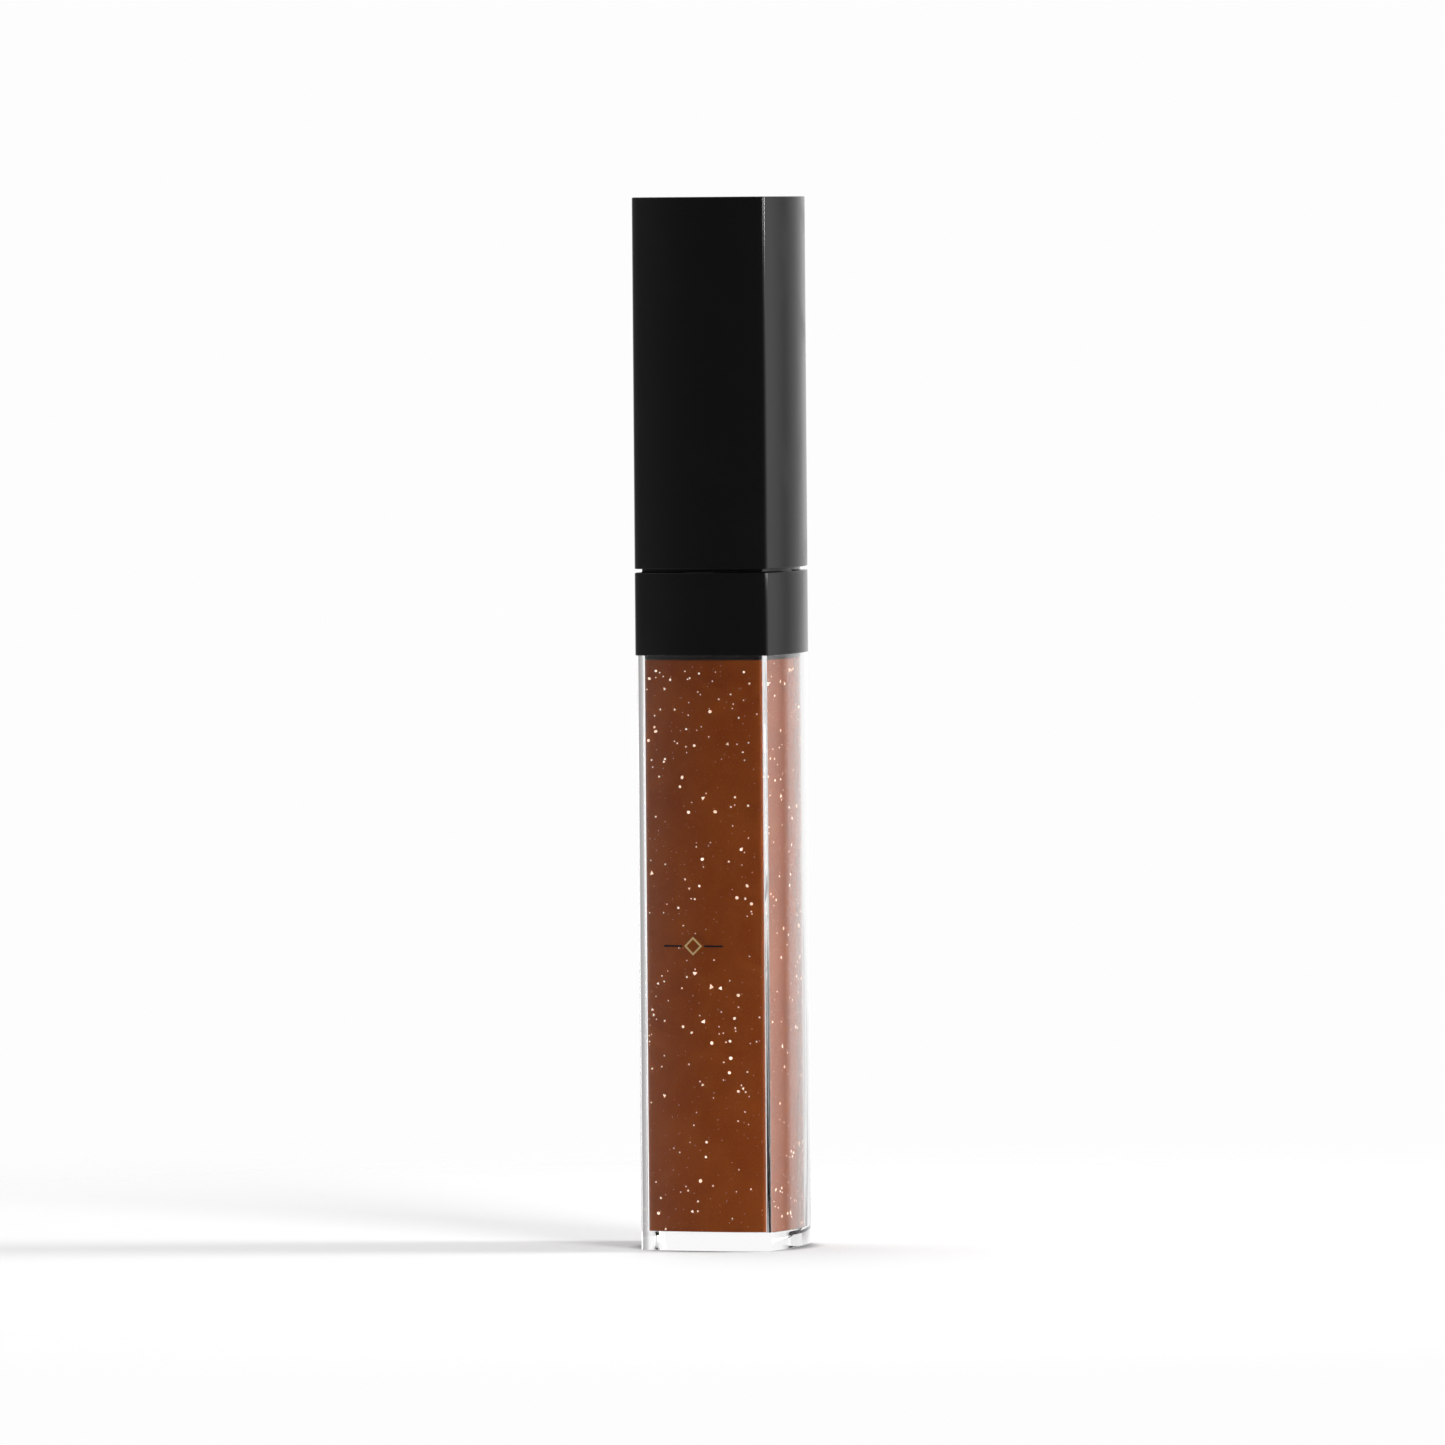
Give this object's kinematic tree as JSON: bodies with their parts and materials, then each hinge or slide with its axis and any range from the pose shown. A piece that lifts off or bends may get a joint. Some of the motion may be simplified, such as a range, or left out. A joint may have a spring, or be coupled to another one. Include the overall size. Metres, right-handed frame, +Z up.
{
  "type": "lip gloss tube",
  "caption": "Tall square lip gloss tube with gently bulging faces, clear lower bottle of shimmer gloss, black collar and long black screw cap that carries the flocked applicator wand.",
  "frame": {"origin": "middle of the base, on the surface that the tube stands on", "axes": "+Z up along the tube, -Y out of the front face, +X out of the right face"},
  "size_m": [0.0172, 0.0172, 0.1187],
  "materials": {
    "bottle": "clear, polished",
    "gloss": "brown gloss with fine shimmer",
    "black_satin": "satin black, moulded",
    "insert": "black, moulded",
    "liner": "black, moulded",
    "wiper": "natural, soft",
    "gasket": "closed foam",
    "stem": "black, polished",
    "tip_core": "moulded",
    "flock": "nylon flock wetted with gloss"
  },
  "bodies": {
    "bottle": {"bottle": "bottle", "gloss": "gloss", "neck_insert": "insert", "collar": "black_satin", "wiper": "wiper"},
    "gasket": {"cap_gasket": "gasket"},
    "wand": {"rod": "stem"},
    "cap": {"cap_shell": "black_satin", "inner_cap": "liner", "tip_core": "tip_core", "tip_flock": "flock"}
  },
  "joints": [
    {"name": "cap_pull", "type": "slide", "parent": "bottle", "child": "gasket", "axis": [0, 0, 1], "range_m": [0, 0.084], "deforming": ["wiper"]},
    {"name": "cap_lift", "type": "slide", "parent": "gasket", "child": "wand", "axis": [0, 0, 1], "range_m": [0, 0.00376]},
    {"name": "cap_turn", "type": "hinge", "parent": "wand", "child": "cap", "pos_m": [0, 0, 0.08], "axis": [0, 0, 1], "range_deg": [0, 540]}
  ],
  "couplings": [
    {"joint": "cap_lift", "follows": "cap_turn", "m_per_rad": 0.00039789}
  ]
}
